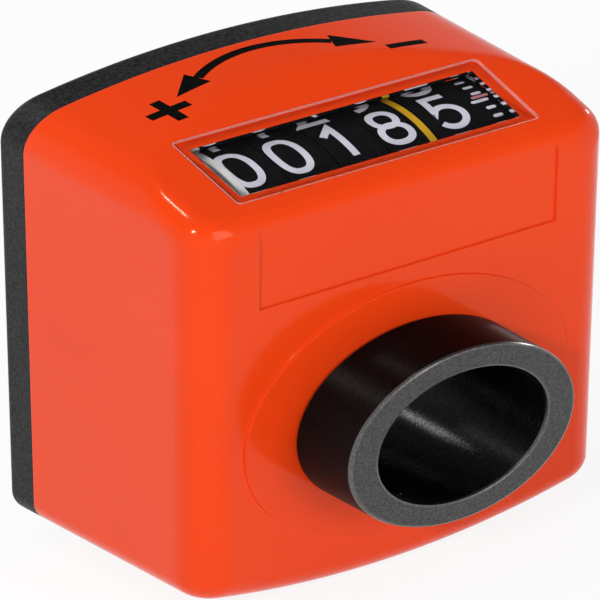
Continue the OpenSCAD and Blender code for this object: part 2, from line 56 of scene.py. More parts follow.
BORE_R, SHAFT_WALL, COLLAR_STEP = 10.0, 2.0, 1.4
COLLAR_LENGTH, SHAFT_EDGE = 8.2, 0.35
GRUB_R, GRUB_ANGLE = 2.0, math.radians(-130)
RING_WALL, RING_GROOVE = 0.9, 0.5
HUB_LENGTH, HUB_WALL = 1.5, 1.6
RIB_WALL, RIB_BITE = 1.2, 0.3
CHEEK_WALL, CHEEK_MARGIN = 1.3, 1.5
WHEEL_PITCH, UNITS_LEFT, SIDE_ROOM = 5.6, 7.0, 7.4
CARRY_WIDTH, SPUR_WIDTH = 0.65, 1.8
DRIVE_WIDTH, DRIVE_HUB = 5.0, 0.9
CROSS_DEPTH, CROSS_HEIGHT = 22.2359, 16.551
RUNNING_GAP, FIT_GAP, END_PLAY, ROOM = 0.04, 0.03, 0.2, 0.4
OVER = 0.5

# Places that follow from them
SPLIT_DEPTH = DEPTH - COVER_DEPTH
COVER_BACK = DEPTH - PAD_HEIGHT
COVER_INSIDE = COVER_BACK - COVER_WALL
SHAFT_R = BORE_R + SHAFT_WALL
SHAFT_END = DEPTH - END_PLAY / 2
COLLAR_R = SHAFT_R + COLLAR_STEP
COLLAR_BACK = -BOSS_HEIGHT - END_PLAY
COLLAR_FRONT = COLLAR_BACK - COLLAR_LENGTH
HUB_R, HUB_DEPTH = SHAFT_R + HUB_WALL, WALL + HUB_LENGTH
HUB_START = CROSS_DEPTH + DRIVE_WIDTH / 2 + DRIVE_HUB + END_PLAY
SLOPE_COS, SLOPE_SIN = math.cos(SLOPE_ANGLE), math.sin(SLOPE_ANGLE)
WINDOW_MID = WINDOW_START + WINDOW_LENGTH / 2
WINDOW_LEDGE = WINDOW_PROUD - WINDOW_FLANGE
RIM_DROP = WALL + ROOM
WHEEL_R = (WINDOW_MID * SLOPE_COS + RIM_DROP * SLOPE_SIN - WALL - ROOM) / (1 - SLOPE_SIN)
WHEEL_SINK = RIM_DROP + WHEEL_R
WHEEL_DEPTH = WINDOW_MID * SLOPE_COS + WHEEL_SINK * SLOPE_SIN
WHEEL_HEIGHT = SLOPE_HEIGHT + WINDOW_MID * SLOPE_SIN - WHEEL_SINK * SLOPE_COS
PLACES = ("units", "tens", "hundreds", "thousands", "ten_thousands")
ROW_LEFT = UNITS_LEFT - (len(PLACES) - 1) * WHEEL_PITCH
UNITS_RIGHT = WIDTH / 2 - SIDE_ROOM
CHEEK_LEFT = ROW_LEFT - END_PLAY - CHEEK_WALL
CHEEK_RIGHT = UNITS_RIGHT + SPUR_WIDTH + 2 * END_PLAY + CHEEK_WALL
PIN_SHANK_R = PIN_R - PIN_SHOULDER
PIN_START = max(SPLIT_DEPTH, WHEEL_DEPTH + WHEEL_R + ROOM + HUB_WALL) - HUB_WALL / 2

# Small edges, and the least corners of outlines that are moved inwards
BOSS_EDGE, PAD_EDGE, LENS_EDGE = 0.14, 0.12, 0.12
COLLAR_EDGE, PIN_EDGE = 0.1, 0.1
# Where the pin's rounded end bends, from its side and from its tip
PIN_BEND = (0.12, 0.3)
# Share of an edge at which its rounding bends
EDGE_SHARE = 0.3
LEAST_CORNER, LEAST_WINDOW_CORNER = 0.4, 0.3

# Limits that sort faces by place and by slant
NEAR = 0.1
FLAT, LENS_FLAT, SLANTED = 0.95, 0.9, 0.2

# A height above the whole part, where a level cut takes nothing
NO_CUT = 200.0


# Meshes
def new_object(name, verts, faces):
    """A mesh object from points in mm."""
    mesh = bpy.data.meshes.new(name)
    mesh.from_pydata([(x * MM, y * MM, z * MM) for x, y, z in verts], [], faces)
    obj = bpy.data.objects.new(name, mesh)
    bpy.context.scene.collection.objects.link(obj)
    bm = bmesh.new()
    bm.from_mesh(mesh)
    bmesh.ops.recalc_face_normals(bm, faces=bm.faces)
    bm.to_mesh(mesh)
    bm.free()
    return obj


def loft(name, rings):
    """A closed skin over rings with the same number of points, with a fan at both ends."""
    count, last = len(rings[0]), len(rings) - 1
    verts = [point for points in rings for point in points]
    faces = []
    for i in range(last):
        for j in range(count):
            k = (j + 1) % count
            faces.append((i * count + j, (i + 1) * count + j, (i + 1) * count + k, i * count + k))
    for i in (0, last):
        middle = len(verts)
        verts.append(tuple(sum(point[axis] for point in rings[i]) / count for axis in range(3)))
        faces += [(middle, i * count + j, i * count + (j + 1) % count) for j in range(count)]
    return new_object(name, verts, faces)


def revolve(name, profile, segments, height=0.0):
    """A profile of (radius, depth) turned about the Y axis, closed on itself or on the axis."""
    verts, rows = [], []
    for radius, depth in profile:
        if radius == 0.0:
            rows.append([len(verts)] * segments)
            verts.append((0.0, depth - DEPTH, height))
            continue
        rows.append(range(len(verts), len(verts) + segments))
        for j in range(segments):
            a = 2 * math.pi * j / segments
            verts.append((radius * math.sin(a), depth - DEPTH, height + radius * math.cos(a)))
    faces = []
    for i, row in enumerate(rows):
        other = rows[(i + 1) % len(rows)]
        for j in range(segments):
            k = (j + 1) % segments
            corners = []
            for v in (row[j], other[j], other[k], row[k]):
                if v not in corners:
                    corners.append(v)
            if len(corners) > 2:
                faces.append(corners)
    return new_object(name, verts, faces)


def rod(name, radius, start, end, segments=128, height=0.0):
    """A plain cylinder along Y between two depths."""
    return revolve(name, [(radius, start), (radius, end), (0.0, end), (0.0, start)], segments, height)


def eased(radius, depth, edge, way=1):
    """Three points of a profile over a front edge that is broken inwards, or outwards with way -1."""
    steps = ((0.0, edge), (EDGE_SHARE * edge, EDGE_SHARE * edge), (edge, 0.0))
    return [(radius - way * inward, depth + back) for inward, back in steps]


def block(name, low, high):
    """A box between two corners."""
    (left, front, bottom), (right, back, top) = low, high
    corners = [(left, bottom), (right, bottom), (right, top), (left, top)]
    return loft(name, [[(x, y, z) for x, z in corners] for y in (front, back)])


def boolean(obj, tool, operation="DIFFERENCE"):
    """Cuts a tool from an object or adds it, and removes the tool."""
    mod = obj.modifiers.new("cut", "BOOLEAN")
    mod.object, mod.operation, mod.solver = tool, operation, "MANIFOLD"
    mesh = bpy.data.meshes.new_from_object(obj.evaluated_get(bpy.context.evaluated_depsgraph_get()))
    obj.modifiers.clear()
    obj.data = mesh
    bpy.data.objects.remove(tool)


def smooth(obj, degrees=32):
    """Smooth shading with crisp edges and flat faces that stay flat."""
    obj.data.shade_smooth()
    obj.data.set_sharp_from_angle(angle=math.radians(degrees))
    mod = obj.modifiers.new("normals", "WEIGHTED_NORMAL")
    mod.keep_sharp = True


def finish(obj, body, mat, nodes=()):
    """Gives a piece its finish, and ties it to its body."""
    obj.data.materials.clear()
    obj.data.materials.append(mat)
    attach(obj, body)
    if nodes:
        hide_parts(*nodes)


# Shape of the housing
def arched(half, rise, radius, corner, steps=40, turns=20):
    """Right half of an arched edge: the wide arc from the middle, then the corner."""
    centre, x = rise - radius, half - corner
    z = centre + math.sqrt((radius - corner) ** 2 - x * x)
    turn = math.atan2(z - centre, x)
    points = []
    for i in range(steps + 1):
        a = math.pi / 2 - (math.pi / 2 - turn) * i / steps
        points.append((radius * math.cos(a), centre + radius * math.sin(a)))
    for i in range(1, turns + 1):
        a = turn * (1 - i / turns)
        points.append((x + corner * math.cos(a), z + corner * math.sin(a)))
    return points


def outline(inset):
    """Points round the housing as seen from the front, moved inwards by an inset."""
    half = WIDTH / 2 - inset
    high = arched(half, TOP_RISE - inset, TOP_RADIUS - inset, max(TOP_CORNER - inset, LEAST_CORNER))
    low = arched(half, LOW_DROP - inset, LOW_RADIUS - inset, max(LOW_CORNER - inset, LEAST_CORNER))
    right = high + [(x, -z) for x, z in reversed(low)]
    return right + [(-x, z) for x, z in right[-2:0:-1]]


def slope_z(depth, inset=0.0):
    """Height of the sloping face at a depth."""
    return SLOPE_HEIGHT + depth * math.tan(SLOPE_ANGLE) - inset / SLOPE_COS


def lower_of(a, b, blend=0.5):
    """The lower of two heights, rounded where they meet."""
    near = max(blend - abs(a - b), 0.0)
    return min(a, b) - near * near / (4 * blend)


def ring(depth, inset=0.0, height=NO_CUT):
    """Points round the housing at a depth, limited by a level cut with rounded corners."""
    half, points = WIDTH / 2 - inset, []
    for x, z in outline(inset):
        past = max(abs(x) - (half - SLOPE_ROUND), 0.0)
        level = height - SLOPE_ROUND + math.sqrt(max(SLOPE_ROUND ** 2 - past * past, 0.0))
        points.append((x, depth - DEPTH, lower_of(z, level)))
    return points


def body_rings(end, front_steps=14, slope_steps=60):
    """Rings of the outside: over the rounded front edge, then back along the slope."""
    centre = slope_z(FRONT_ROUND) - FRONT_ROUND / SLOPE_COS
    rings = []
    for i in range(front_steps + 1):
        turn = math.pi / 2 * (1 - i / front_steps)
        depth = FRONT_ROUND * (1 - math.sin(turn))
        height = centre + FRONT_ROUND * math.cos(turn) if turn > SLOPE_ANGLE else slope_z(depth)
        rings.append(ring(depth, FRONT_ROUND * (1 - math.cos(turn)), height))
    for i in range(1, slope_steps + 1):
        depth = FRONT_ROUND + (end - FRONT_ROUND) * i / slope_steps
        rings.append(ring(depth, 0.0, slope_z(depth)))
    return rings


def inside_rings(steps=24):
    """Rings of the hollow inside the walls, with a bevel behind the front."""
    bevel = FRONT_ROUND / 3
    start, end = WALL + bevel, SPLIT_DEPTH + OVER
    rings = [ring(WALL, WALL + bevel, slope_z(WALL, WALL))]
    for i in range(steps + 1):
        depth = start + (end - start) * i / steps
        rings.append(ring(depth, WALL, slope_z(depth, WALL)))
    return rings


def prism(name, inset, start, end):
    """The housing's outline as a straight block between two depths."""
    return loft(name, [ring(start, inset), ring(end, inset)])


def slope_point(x, along, out):
    """A point over the sloping face: across, up the slope and out of it."""
    y = along * SLOPE_COS - out * SLOPE_SIN - DEPTH
    return (x, y, SLOPE_HEIGHT + along * SLOPE_SIN + out * SLOPE_COS)


def on_slope(point):
    """The same three distances of a point in mm."""
    y, z = point[1] + DEPTH, point[2] - SLOPE_HEIGHT
    return point[0], y * SLOPE_COS + z * SLOPE_SIN, z * SLOPE_COS - y * SLOPE_SIN


def window_ring(width, length, corner, out, steps=8):
    """A rounded rectangle over the middle of the window."""
    points = []
    for cx, cy, first in ((1, 1, 0), (-1, 1, 90), (-1, -1, 180), (1, -1, 270)):
        for i in range(steps + 1):
            a = math.radians(first + 90 * i / steps)
            x = cx * (width / 2 - corner) + corner * math.cos(a)
            along = WINDOW_MID + cy * (length / 2 - corner) + corner * math.sin(a)
            points.append(slope_point(x, along, out))
    return points


def window_loft(name, levels):
    """Rounded rectangles stacked out of the slope: (inset, height) of each."""
    rings = []
    for inset, height in levels:
        corner = max(WINDOW_CORNER - inset / 4, LEAST_WINDOW_CORNER)
        rings.append(window_ring(WINDOW_WIDTH - 2 * inset, WINDOW_LENGTH - 2 * inset, corner, height))
    return loft(name, rings)


# Node trees
class Nodes:
    """Short calls that build a node tree."""

    def __init__(self, tree):
        self.tree = tree

    def node(self, kind, inputs=None, **settings):
        """A new node with its settings, and with outputs or values on its inputs."""
        node = self.tree.nodes.new(kind)
        for key, value in settings.items():
            setattr(node, key, value)
        for key, value in (inputs or {}).items():
            self.put(value, node.inputs[key])
        return node

    def put(self, value, socket):
        """Links an output to a socket, or sets the socket to a plain value."""
        if isinstance(value, bpy.types.NodeSocket):
            self.tree.links.new(value, socket)
        else:
            socket.default_value = value

    def larger(self, first, second):
        """The larger of two values."""
        return self.node("ShaderNodeMath", {0: first, 1: second}, operation="MAXIMUM").outputs[0]

    def rays(self, first, *others):
        """1 for rays of the kinds named, and 0 for all others."""
        path = self.node("ShaderNodeLightPath").outputs
        share = path["Is %s Ray" % first]
        for name in others:
            share = self.larger(share, path["Is %s Ray" % name])
        return share

    def show_mix(self, share, first, second):
        """Sends a mix of two shaders to the output of the tree."""
        mix = self.node("ShaderNodeMixShader", {0: share, 1: first, 2: second}).outputs[0]
        output = [n for n in self.tree.nodes if n.bl_idname.startswith("ShaderNodeOutput")][0]
        self.put(mix, output.inputs["Surface"])


class Finish(Nodes):
    """A material built from nodes on the part's own coordinates."""

    def __init__(self, name):
        self.mat = bpy.data.materials.new(name)
        self.mat.use_nodes = True
        super().__init__(self.mat.node_tree)
        self.bsdf = self.tree.nodes["Principled BSDF"]
        self.where = self.node("ShaderNodeTexCoord").outputs["Object"]

    def noise(self, scale, detail=3.0, vector=None):
        inputs = {"Vector": vector or self.where, "Scale": scale, "Detail": detail}
        return self.node("ShaderNodeTexNoise", inputs).outputs["Fac"]

    def ramp(self, fac, low, high, start=0.3, end=0.7):
        """A value or colour that runs from low to high as fac goes from start to end."""
        if not isinstance(low, tuple):
            inputs = {"Value": fac, "From Min": start, "From Max": end, "To Min": low, "To Max": high}
            return self.node("ShaderNodeMapRange", inputs).outputs["Result"]
        node = self.node("ShaderNodeValToRGB", {"Fac": fac})
        for point, place, colour in zip(node.color_ramp.elements, (start, end), (low, high)):
            point.position, point.color = place, (*colour, 1.0)
        return node.outputs["Color"]

    def bump(self, height, strength, distance, normal=None):
        inputs = {"Height": height, "Strength": strength, "Distance": distance * MM}
        if normal:
            inputs["Normal"] = normal
        return self.node("ShaderNodeBump", inputs).outputs["Normal"]

    def soft_edges(self, radius):
        """Normals that round every edge a little."""
        return self.node("ShaderNodeBevel", {"Radius": radius * MM}, samples=4).outputs["Normal"]

    def turned(self):
        """Coordinates of distance from the shaft axis and depth, for tool marks."""
        parts = self.node("ShaderNodeSeparateXYZ", {"Vector": self.where}).outputs
        flat = self.node("ShaderNodeCombineXYZ", {"X": parts["X"], "Z": parts["Z"]}).outputs[0]
        radius = self.node("ShaderNodeVectorMath", {0: flat}, operation="LENGTH").outputs["Value"]
        return self.node("ShaderNodeCombineXYZ", {"X": radius, "Y": parts["Y"]}).outputs[0]

    def set(self, **values):
        """Sets inputs of the main shader, which are named with underscores for spaces."""
        for key, value in values.items():
            self.put(value, self.bsdf.inputs[key.replace("_", " ")])
        return self.mat


# Materials
def orange_plastic():
    """Glossy moulded plastic with a faint orange peel."""
    f = Finish("orange_plastic")
    peel = f.bump(f.noise(3200.0, detail=2.0), strength=0.03, distance=0.02, normal=f.soft_edges(0.2))
    return f.set(Base_Color=f.ramp(f.noise(40.0), (0.82, 0.050, 0.005), (0.85, 0.056, 0.006)),
                 Roughness=f.ramp(f.noise(2200.0), 0.14, 0.18), Specular_IOR_Level=0.15,
                 Specular_Tint=(1.0, 0.86, 0.5, 1.0), Coat_Weight=0.1, Coat_Roughness=0.03, Normal=peel)


def black_plastic():
    """Matt moulded plastic with a coarse spark-eroded grain."""
    f = Finish("black_plastic")
    grain = f.bump(f.noise(4600.0, detail=4.0), strength=0.8, distance=0.06, normal=f.soft_edges(0.2))
    speckle = f.ramp(f.noise(2800.0), (0.002, 0.002, 0.0023), (0.021, 0.021, 0.022),
                     start=0.36, end=0.64)
    return f.set(Base_Color=speckle, Roughness=f.ramp(f.noise(2600.0), 0.40, 0.58),
                 Specular_IOR_Level=0.17, Normal=grain)


def blackened_steel(name, low, high, marks, rough, streak=0.0, grooves=6500.0):
    """Steel with a black finish over fine turning marks, which draw highlights out along the shaft."""
    f = Finish(name)
    turned = f.turned()
    f.set(Anisotropic=streak, Anisotropic_Rotation=0.25,
          Tangent=f.node("ShaderNodeTangent", direction_type="RADIAL", axis="Y").outputs[0])
    grain = f.bump(f.noise(5200.0), strength=0.3 * marks, distance=0.02, normal=f.soft_edges(0.08))
    lines = f.noise(grooves, detail=2.0, vector=turned)
    wear = f.noise(7000.0, detail=1.0, vector=turned)
    return f.set(Base_Color=f.ramp(f.noise(3600.0, detail=4.0), low, high), Metallic=1.0,
                 Roughness=f.ramp(wear, rough - 0.05, rough + 0.07),
                 Normal=f.bump(lines, strength=marks, distance=0.03, normal=grain))


def bright_steel():
    """Plain ground steel."""
    f = Finish("bright_steel")
    return f.set(Base_Color=f.ramp(f.noise(600.0), (0.52, 0.52, 0.53), (0.66, 0.66, 0.67)), Metallic=1.0,
                 Roughness=f.ramp(f.noise(3000.0), 0.22, 0.34))


def plain_plastic(name, low, high, rough, shine=0.3):
    """A moulded plastic or a print with a fine even grain."""
    f = Finish(name)
    return f.set(Base_Color=f.ramp(f.noise(700.0), low, high), Specular_IOR_Level=shine,
                 Roughness=f.ramp(f.noise(2400.0), rough - 0.06, rough + 0.06),
                 Normal=f.bump(f.noise(4200.0), strength=0.15, distance=0.02))


def clear_plastic(name, rough, clear):
    """Clear plastic, polished or frosted, that lets light through to the wheels behind it.

    The low index keeps the white surroundings from veiling the wheels."""
    f = Finish(name)
    f.set(Base_Color=f.ramp(f.noise(300.0), (0.97, 0.975, 0.98), (0.99, 0.99, 0.99)), IOR=1.14,
          Roughness=f.ramp(f.noise(900.0), *rough), Transmission_Weight=clear)
    through = f.node("ShaderNodeBsdfTransparent", {"Color": (0.96, 0.96, 0.96, 1.0)})
    f.show_mix(f.rays("Shadow", "Diffuse"), f.bsdf.outputs[0], through.outputs[0])
    return f.mat


ORANGE = orange_plastic()
BLACK = black_plastic()
BRIGHT = bright_steel()
STEEL = blackened_steel("blackened_steel", (0.007, 0.0067, 0.0067), (0.014, 0.0135, 0.0135),
                        marks=0.5, rough=0.42, streak=0.95)
# A brighter copy of the same steel for the flat faces: painted sheen
STEEL_FACE_SHEEN = blackened_steel("turned_face_painted_sheen", (0.047, 0.046, 0.046), (0.115, 0.113, 0.112),
                             marks=0.2, rough=0.3)
# A brighter copy again for the broken front edges: a painted highlight along them
STEEL_EDGE_HIGHLIGHT = blackened_steel("turned_edge_painted_highlight", (0.09, 0.088, 0.086), (0.16, 0.156, 0.152),
                             marks=0.08, rough=0.22)
STEEL_BORE = blackened_steel("bored_steel", (0.02, 0.02, 0.0205), (0.05, 0.05, 0.051),
                             marks=0.8, rough=0.27, streak=0.95, grooves=3000.0)
CLEAR = clear_plastic("clear_plastic", rough=(0.0, 0.02), clear=1.0)
FROSTED = clear_plastic("frosted_plastic", rough=(0.25, 0.4), clear=0.7)
WHITE = plain_plastic("white_plastic", (0.70, 0.70, 0.69), (0.78, 0.78, 0.77), rough=0.45)
GEAR = plain_plastic("gear_plastic", (0.62, 0.58, 0.48), (0.70, 0.66, 0.56), rough=0.45)
WHEEL = plain_plastic("wheel_plastic", (0.003, 0.003, 0.0035), (0.006, 0.006, 0.007),
                      rough=0.5, shine=0.04)
PRINT_BLACK = plain_plastic("print_black", (0.001, 0.001, 0.001), (0.004, 0.0035, 0.0035),
                            rough=0.6, shine=0.03)
PRINT_WHITE = plain_plastic("print_white", (0.66, 0.66, 0.76), (0.74, 0.74, 0.82), rough=0.5)
PRINT_YELLOW = plain_plastic("print_yellow", (0.60, 0.33, 0.006), (0.70, 0.40, 0.010), rough=0.5)
PRINT_PINK = plain_plastic("print_pink", (0.62, 0.26, 0.26), (0.70, 0.32, 0.31), rough=0.5)
PRINT_RED = plain_plastic("print_red", (0.62, 0.03, 0.03), (0.72, 0.05, 0.045), rough=0.5)


# Housing
def build_housing():
    shell = loft("housing_shell", body_rings(SPLIT_DEPTH))
    boolean(shell, loft("inside", inside_rings()))
    root = WALL / 2
    boss = [(BOSS_R, root)] + eased(BOSS_R, -BOSS_HEIGHT, BOSS_EDGE) + [(0.0, -BOSS_HEIGHT), (0.0, root)]
    boolean(shell, revolve("boss", boss, segments=192), "UNION")
    boolean(shell, rod("hub", HUB_R, root, HUB_DEPTH, segments=96), "UNION")
    add_ribs(shell)
    boolean(shell, rod("bore", SHAFT_R + RUNNING_GAP, -BOSS_HEIGHT - OVER, HUB_DEPTH + OVER))
    boolean(shell, block("panel", (-PANEL_HALF, -DEPTH - OVER, PANEL_LOW),
                         (PANEL_HALF, PANEL_DEPTH - DEPTH, TOP_RISE)))
    boolean(shell, window_loft("pocket", [(-FIT_GAP, OVER), (-FIT_GAP, WINDOW_LEDGE)]))
    rim = WINDOW_RIM - FIT_GAP
    boolean(shell, window_loft("opening", [(rim, OVER), (rim, -WALL - OVER)]))
    smooth(shell)
    finish(shell, "base", ORANGE, ["housing"])
    shell.data.materials.append(WHEEL)
    for face in shell.data.polygons:
        if in_opening(face.center / MM):
            face.material_index = 1


def add_ribs(shell):
    """Ribs on the side walls that hold the cheeks of the counter frame."""
    inner = WIDTH / 2 - WALL + RIB_BITE
    front, back = WALL / 2 - DEPTH, SPLIT_DEPTH - LIP_LENGTH - ROOM - DEPTH
    for height in (WHEEL_HEIGHT, CROSS_HEIGHT + CHEEK_MARGIN):
        for left, right in ((-inner, CHEEK_LEFT), (CHEEK_RIGHT, inner)):
            low, high = height - RIB_WALL / 2, height + RIB_WALL / 2
            boolean(shell, block("rib", (left, front, low), (right, back, high)), "UNION")


def in_opening(point):
    """Whether a point in mm lies on the dark walls of the window opening, below its ledge."""
    x, along, out = on_slope(point)
    inside = (abs(x) < WINDOW_WIDTH / 2 - WINDOW_RIM + NEAR
              and abs(along - WINDOW_MID) < WINDOW_LENGTH / 2 - WINDOW_RIM + NEAR)
    return inside and -WALL - NEAR < out < WINDOW_LEDGE - NEAR


# Rear cover
def build_cover(steps=8):
    rings = [ring(SPLIT_DEPTH)]
    for i in range(steps + 1):
        turn = math.pi / 2 * i / steps
        depth = COVER_BACK - COVER_ROUND * (1 - math.sin(turn))
        rings.append(ring(depth, COVER_ROUND * (1 - math.cos(turn))))
    cover = loft("cover_shell", rings)
    boolean(cover, prism("inside", WALL, SPLIT_DEPTH - OVER, COVER_INSIDE))
    middle = COVER_BACK - COVER_WALL / 2
    start = SPLIT_DEPTH - LIP_LENGTH
    lip = prism("lip", WALL + FIT_GAP, start, middle)
    boolean(lip, prism("lip_inside", WALL + FIT_GAP + LIP_WALL, start - OVER, COVER_INSIDE))
    boolean(cover, lip, "UNION")
    boolean(cover, rod("hub", HUB_R, HUB_START, middle, segments=96), "UNION")
    pad = [(PAD_R, middle), (PAD_R, DEPTH - PAD_EDGE), (PAD_R - PAD_EDGE, DEPTH),
           (0.0, DEPTH), (0.0, middle)]
    boolean(cover, revolve("pad", pad, segments=192), "UNION")
    pin_boss = rod("pin_boss", PIN_SHANK_R + HUB_WALL, PIN_START - HUB_WALL / 2, middle,
                   segments=64, height=PIN_HEIGHT)
    boolean(cover, pin_boss, "UNION")
    boolean(cover, rod("bore", SHAFT_R + RUNNING_GAP, HUB_START - OVER, DEPTH + OVER))
    pin_hole = rod("pin_hole", PIN_SHANK_R + FIT_GAP, PIN_START, DEPTH + OVER,
                   segments=64, height=PIN_HEIGHT)
    boolean(cover, pin_hole)
    smooth(cover)
    finish(cover, "base", BLACK, ["rear_cover"])


def build_pin():
    end = DEPTH + PIN_REACH
    profile = [(0.0, PIN_START), (PIN_SHANK_R, PIN_START), (PIN_SHANK_R, COVER_BACK),
               (PIN_R - PIN_EDGE, COVER_BACK), (PIN_R, COVER_BACK + PIN_EDGE), (PIN_R, end - PIN_CHAMFER),
               (PIN_R - PIN_BEND[0], end - PIN_BEND[1]), (PIN_R - PIN_CHAMFER, end), (0.0, end)]
    pin = revolve("torque_pin_body", profile, segments=96, height=PIN_HEIGHT)
    smooth(pin)
    finish(pin, "base", BRIGHT, ["torque_pin"])


# Window
def build_window():
    top, edge, bend = WINDOW_PROUD, LENS_EDGE, EDGE_SHARE * LENS_EDGE
    levels = [(edge, top), (bend, top - bend), (0.0, top - edge), (0.0, WINDOW_LEDGE),
              (WINDOW_RIM, WINDOW_LEDGE), (WINDOW_RIM, -WALL + edge), (WINDOW_RIM + edge, -WALL)]
    lens = window_loft("window_lens", levels)
    smooth(lens)
    finish(lens, "base", CLEAR, ["window"])
    lens.data.materials.append(FROSTED)
    out = Vector((0.0, -SLOPE_SIN, SLOPE_COS))
    for face in lens.data.polygons:
        if abs(face.normal.dot(out)) < LENS_FLAT and on_slope(face.center / MM)[2] > WINDOW_LEDGE:
            face.material_index = 1


# Hollow shaft
def build_shaft():
    edge, groove = SHAFT_EDGE, HUB_DEPTH + END_PLAY
    ring_back = groove + RING_WALL + FIT_GAP
    profile = eased(COLLAR_R, COLLAR_FRONT, edge)[::-1]
    profile += [(COLLAR_R, COLLAR_BACK - COLLAR_EDGE), (COLLAR_R - COLLAR_EDGE, COLLAR_BACK),
                (SHAFT_R, COLLAR_BACK), (SHAFT_R, groove), (SHAFT_R - RING_GROOVE, groove),
                (SHAFT_R - RING_GROOVE, ring_back), (SHAFT_R, ring_back), (SHAFT_R, SHAFT_END - edge),
                (SHAFT_R - edge, SHAFT_END), (BORE_R + edge, SHAFT_END), (BORE_R, SHAFT_END - edge)]
    profile += eased(BORE_R, COLLAR_FRONT, edge, -1)
    shaft = revolve("shaft_tube", profile, segments=256)
    boolean(shaft, grub_hole())
    smooth(shaft, degrees=20)
    finish(shaft, "shaft", STEEL, ["hollow_shaft"])
    for mat in (STEEL_FACE_SHEEN, STEEL_EDGE_HIGHLIGHT, STEEL_BORE):
        shaft.data.materials.append(mat)
    # Slots 1 to 3 are for the flat faces, a brighter copy of the steel as painted sheen, the broken front
    # edges, a brighter copy again as a painted highlight, and the bore
    for face in shaft.data.polygons:
        # Flat faces take the copy of the steel with painted sheen
        if abs(face.normal.y) > FLAT:
            face.material_index = 1
        # Broken front edges take the copy of the steel with a painted highlight
        elif abs(face.normal.y) > SLANTED and face.center.y < -DEPTH * MM:
            face.material_index = 2
        elif math.hypot(face.center.x, face.center.z) < (BORE_R + NEAR) * MM:
            face.material_index = 3


def grub_hole(segments=64):
    """A round bar through the collar's wall, along the grub screw."""
    x, z = math.cos(GRUB_ANGLE), math.sin(GRUB_ANGLE)
    y = COLLAR_BACK - COLLAR_LENGTH / 2 - DEPTH
    rings = []
    for radius in (BORE_R / 2, BORE_R * 2):
        points = []
        for j in range(segments):
            a = 2 * math.pi * j / segments
            across, along = GRUB_R * math.cos(a), GRUB_R * math.sin(a)
            points.append((x * radius + z * across, y + along, z * radius - x * across))
        rings.append(points)
    return loft("grub_hole", rings)


# Thin printed marks: limit of a mitre, half width of a tip, and lift of a stroke that crosses another
MITRE, TIP = 0.35, 1e-3
STACKED = 0.004


class Marks:
    """Flat bands of print, each a thin solid laid on a surface.

    place takes x, y and a height above the surface, and gives a point in mm."""

    def __init__(self, thick=0.03):
        self.verts, self.faces, self.thick = [], [], thick

    def strip(self, place, pairs, closed=False, lift=0.0):
        """A band between pairs of points, left and right."""
        start, count = len(self.verts), len(pairs)
        for left, right in pairs:
            self.verts += [place(*left, lift), place(*right, lift)]
            self.verts += [place(*right, -self.thick), place(*left, -self.thick)]
        for i in range(count if closed else count - 1):
            a, b = start + 4 * i, start + 4 * ((i + 1) % count)
            self.faces += [(a + k, a + (k + 1) % 4, b + (k + 1) % 4, b + k) for k in range(4)]
        if not closed:
            for a in (start, start + 4 * (count - 1)):
                self.faces.append((a, a + 1, a + 2, a + 3))

    def stroke(self, place, points, width, closed=False, lift=0.0):
        """A line of even width with mitred corners."""
        count, pairs = len(points), []
        for i, (x, y) in enumerate(points):
            before = points[i - 1] if i or closed else None
            after = points[(i + 1) % count] if i + 1 < count or closed else None
            ways = [Vector((x - before[0], y - before[1])).normalized()] if before else []
            ways += [Vector((after[0] - x, after[1] - y)).normalized()] if after else []
            middle = sum(ways, Vector((0.0, 0.0))).normalized()
            reach = middle * (width / 2 / max(middle.dot(ways[0]), MITRE))
            pairs.append(((x - reach.y, y + reach.x), (x + reach.y, y - reach.x)))
        self.strip(place, pairs, closed, lift)

    def pill(self, place, x0, x1, y, width, steps=5):
        """A short bar along x with round ends."""
        r = width / 2
        turns = [math.pi / 2 * i / steps for i in range(steps + 1)]
        halves = [(x0 + r - r * math.cos(a), r * math.sin(a) + TIP) for a in turns]
        halves += [(x1 - r + r * math.cos(a), r * math.sin(a) + TIP) for a in reversed(turns)]
        self.strip(place, [((x, y + half), (x, y - half)) for x, half in halves])

    def build(self, name):
        return new_object(name, self.verts, self.faces)


def line(*corners, step=0.12):
    """Points along a line through corners."""
    points = []
    for (x0, y0), (x1, y1) in zip(corners, corners[1:]):
        count = max(int(math.hypot(x1 - x0, y1 - y0) / step), 1)
        points += [(x0 + (x1 - x0) * i / count, y0 + (y1 - y0) * i / count) for i in range(count)]
    return points + [corners[-1]]


def arc(cx, cy, rx, ry, start, end, steps=28, power=2.0):
    """Points along a part of an ellipse, fuller with a higher power."""
    points = []
    for i in range(steps + 1):
        a = math.radians(start + (end - start) * i / steps)
        c, s = math.cos(a), math.sin(a)
        points.append((cx + rx * math.copysign(abs(c) ** (2 / power), c),
                       cy + ry * math.copysign(abs(s) ** (2 / power), s)))
    return points


# Number wheels, with angles in degrees from their top towards the front
BAND_R = WHEEL_R + 0.03
PRINT_R = BAND_R + 0.02
BAND_WALL = 0.1
READING = (5, 8, 1, 0, 0)
ROW_TURN, FIGURE_STEP = 17.4, 36.0
DIGIT_WIDTH, DIGIT_HEIGHT, DIGIT_LINE = 3.7, 5.65, 0.74
UNITS_FIGURE = 10.6
# The other figures stand a little off the middle of their wheels, as in the photograph
FIGURE_SHIFT = (0.0, 0.12, 0.0, -0.12, 0.1)
SCALE_MARKS, SCALE_LONG_EVERY = 50, 5
SCALE_LONG, SCALE_SHORT, SCALE_END, SCALE_LINE = 13.6, 14.5, 15.6, 0.42
END_LINE = 0.14
WHITE_EDGE_WIDTH, WHITE_EDGE_OUT = 0.8, 0.03
WHITE_EDGE_BITE, WHITE_EDGE_RISE = 0.3, 0.2


